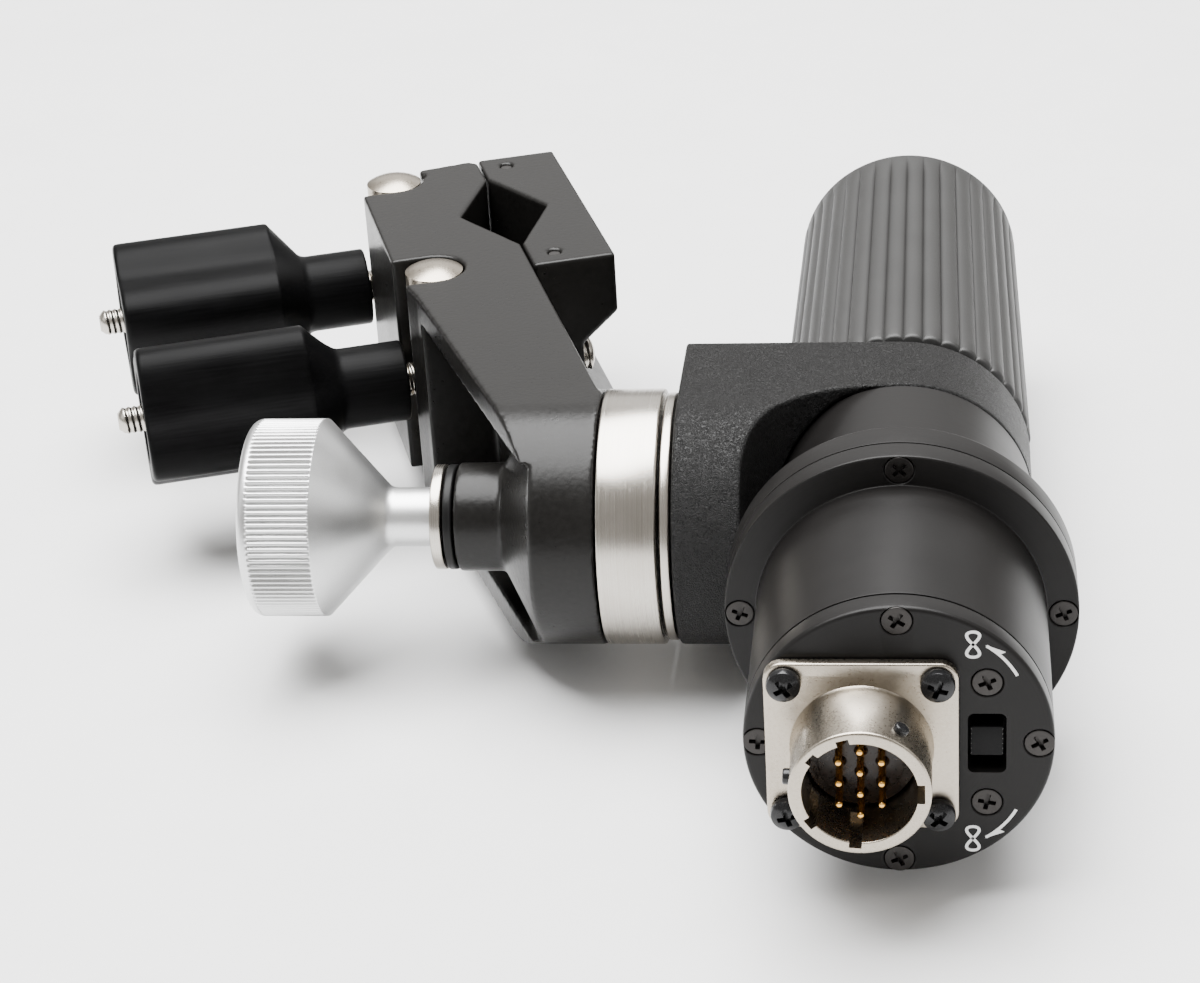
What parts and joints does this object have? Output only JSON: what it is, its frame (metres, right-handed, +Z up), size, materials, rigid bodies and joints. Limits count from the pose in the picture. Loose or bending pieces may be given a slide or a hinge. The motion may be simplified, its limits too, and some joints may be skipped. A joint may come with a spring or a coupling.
{
  "type": "hand controller",
  "caption": "Hand controller for a motorised lens: a ribbed turning grip on a black housing with a round connector and slide switch, on a locking swivel and a two-jaw bar clamp.",
  "frame": {"origin": "On the resting surface, under the middle of the object's bounding box.", "axes": "+Z is up, +Y runs along the grip from the connector to the grip's end, and +X points away from the clamp, to the side of the housing."},
  "size_m": [0.174, 0.1866, 0.0517],
  "materials": {
    "black_anodised": "satin black anodised aluminium",
    "crinkle_paint": "coarse black crinkle paint on aluminium",
    "clamp_paint": "semi-gloss black paint with a light orange peel, on aluminium",
    "stainless_steel": "turned stainless steel",
    "bare_aluminium": "bead-blasted bare aluminium",
    "nickel_plate": "satin nickel plate",
    "gold_plate": "gold-plated contact",
    "black_oxide": "black oxide steel",
    "grip_rubber": "matte black ribbed grip",
    "knob_plastic": "matte black moulded plastic",
    "insert_plastic": "dark brown moulded insert",
    "circuit_board": "green solder-masked board",
    "slider_plastic": "dark grey moulded slider",
    "brass": "machined brass"
  },
  "bodies": {
    "clamp": {"clamp_arm": "clamp_paint", "arm_ring": "stainless_steel", "barrel_pin_1": "nickel_plate", "barrel_pin_2": "nickel_plate"},
    "controller": {"rear_cover": "black_anodised", "rear_barrel": "black_anodised", "main_housing": "black_anodised", "side_bracket": "crinkle_paint", "bracket_ring": "stainless_steel", "pivot_bolt": "black_oxide", "connector_shell": "nickel_plate", "connector_insert": "insert_plastic", "contact_pin_01": "gold_plate", "contact_pin_02": "gold_plate", "contact_pin_03": "gold_plate", "contact_pin_04": "gold_plate", "contact_pin_05": "gold_plate", "contact_pin_06": "gold_plate", "contact_pin_07": "gold_plate", "contact_pin_08": "gold_plate", "contact_pin_09": "gold_plate", "contact_pin_10": "gold_plate", "connector_screw_1": "black_oxide", "connector_screw_2": "black_oxide", "connector_screw_3": "black_oxide", "connector_screw_4": "black_oxide", "cover_screw_1": "black_oxide", "cover_screw_2": "black_oxide", "cover_screw_3": "black_oxide", "cover_screw_4": "black_oxide", "switch_screw_1": "black_oxide", "switch_screw_2": "black_oxide", "flange_screw_1": "black_oxide", "flange_screw_2": "black_oxide", "flange_screw_3": "black_oxide", "flange_screw_4": "black_oxide", "switch_body": "knob_plastic", "circuit_board": "circuit_board", "encoder_body": "knob_plastic", "encoder_plate": "bare_aluminium", "rear_bearing": "stainless_steel", "front_bearing": "stainless_steel"},
    "direction_switch": {"switch_slider": "slider_plastic"},
    "grip": {"grip_sleeve": "grip_rubber", "grip_core": "bare_aluminium", "grip_end_cap": "black_anodised", "drive_shaft": "stainless_steel", "drive_gear": "brass", "shaft_nut": "stainless_steel"},
    "encoder_shaft": {"encoder_pinion": "brass"},
    "lock_carrier": {"lock_washer": "knob_plastic", "lock_collar": "stainless_steel"},
    "lock_knob_body": {"lock_knob": "bare_aluminium"},
    "moving_jaw_body": {"moving_jaw": "clamp_paint", "clamp_rod_1": "stainless_steel", "clamp_rod_2": "stainless_steel", "jaw_pin_1": "black_oxide", "jaw_pin_2": "black_oxide"},
    "knob_1": {"clamp_knob_1": "knob_plastic"},
    "knob_2": {"clamp_knob_2": "knob_plastic"}
  },
  "joints": [
    {"name": "tilt", "type": "hinge", "parent": "clamp", "child": "controller", "pos_m": [0.02515, -0.01435, 0.02585], "axis": [1, 0, 0], "continuous": true},
    {"name": "grip_turn", "type": "hinge", "parent": "controller", "child": "grip", "pos_m": [0.06115, 0.04915, 0.02585], "axis": [0, 1, 0], "range_deg": [-90, 90]},
    {"name": "encoder_turn", "type": "hinge", "parent": "controller", "child": "encoder_shaft", "pos_m": [0.06115, -0.02595, 0.03585], "axis": [0, 1, 0], "range_deg": [-170, 170]},
    {"name": "direction_slide", "type": "slide", "parent": "controller", "child": "direction_switch", "axis": [0, 0, 1], "range_m": [-0.0022, 0.0022]},
    {"name": "lock_slide", "type": "slide", "parent": "clamp", "child": "lock_carrier", "axis": [-1, 0, 0], "range_m": [0, 0.001]},
    {"name": "lock_turn", "type": "hinge", "parent": "lock_carrier", "child": "lock_knob_body", "pos_m": [-0.02385, -0.01435, 0.02585], "axis": [-1, 0, 0], "range_deg": [0, 360]},
    {"name": "knob_1_turn", "type": "hinge", "parent": "clamp", "child": "knob_1", "pos_m": [-0.06177, 0.06937, 0.02585], "axis": [-0.9483, -0.3173, 0], "range_deg": [0, 4320]},
    {"name": "jaw_slide", "type": "slide", "parent": "clamp", "child": "moving_jaw_body", "axis": [0.9483, 0.3173, 0], "range_m": [0, 0.012]},
    {"name": "knob_2_turn", "type": "hinge", "parent": "clamp", "child": "knob_2", "pos_m": [-0.04813, 0.0286, 0.02585], "axis": [-0.9483, -0.3173, 0], "range_deg": [0, 4320]}
  ],
  "couplings": [
    {"joint": "encoder_turn", "follows": "grip_turn", "ratio": -1.8571},
    {"joint": "lock_turn", "follows": "lock_slide", "rad_per_m": 6283.2},
    {"joint": "knob_1_turn", "follows": "jaw_slide", "rad_per_m": 6283.2},
    {"joint": "knob_2_turn", "follows": "jaw_slide", "rad_per_m": 6283.2}
  ]
}
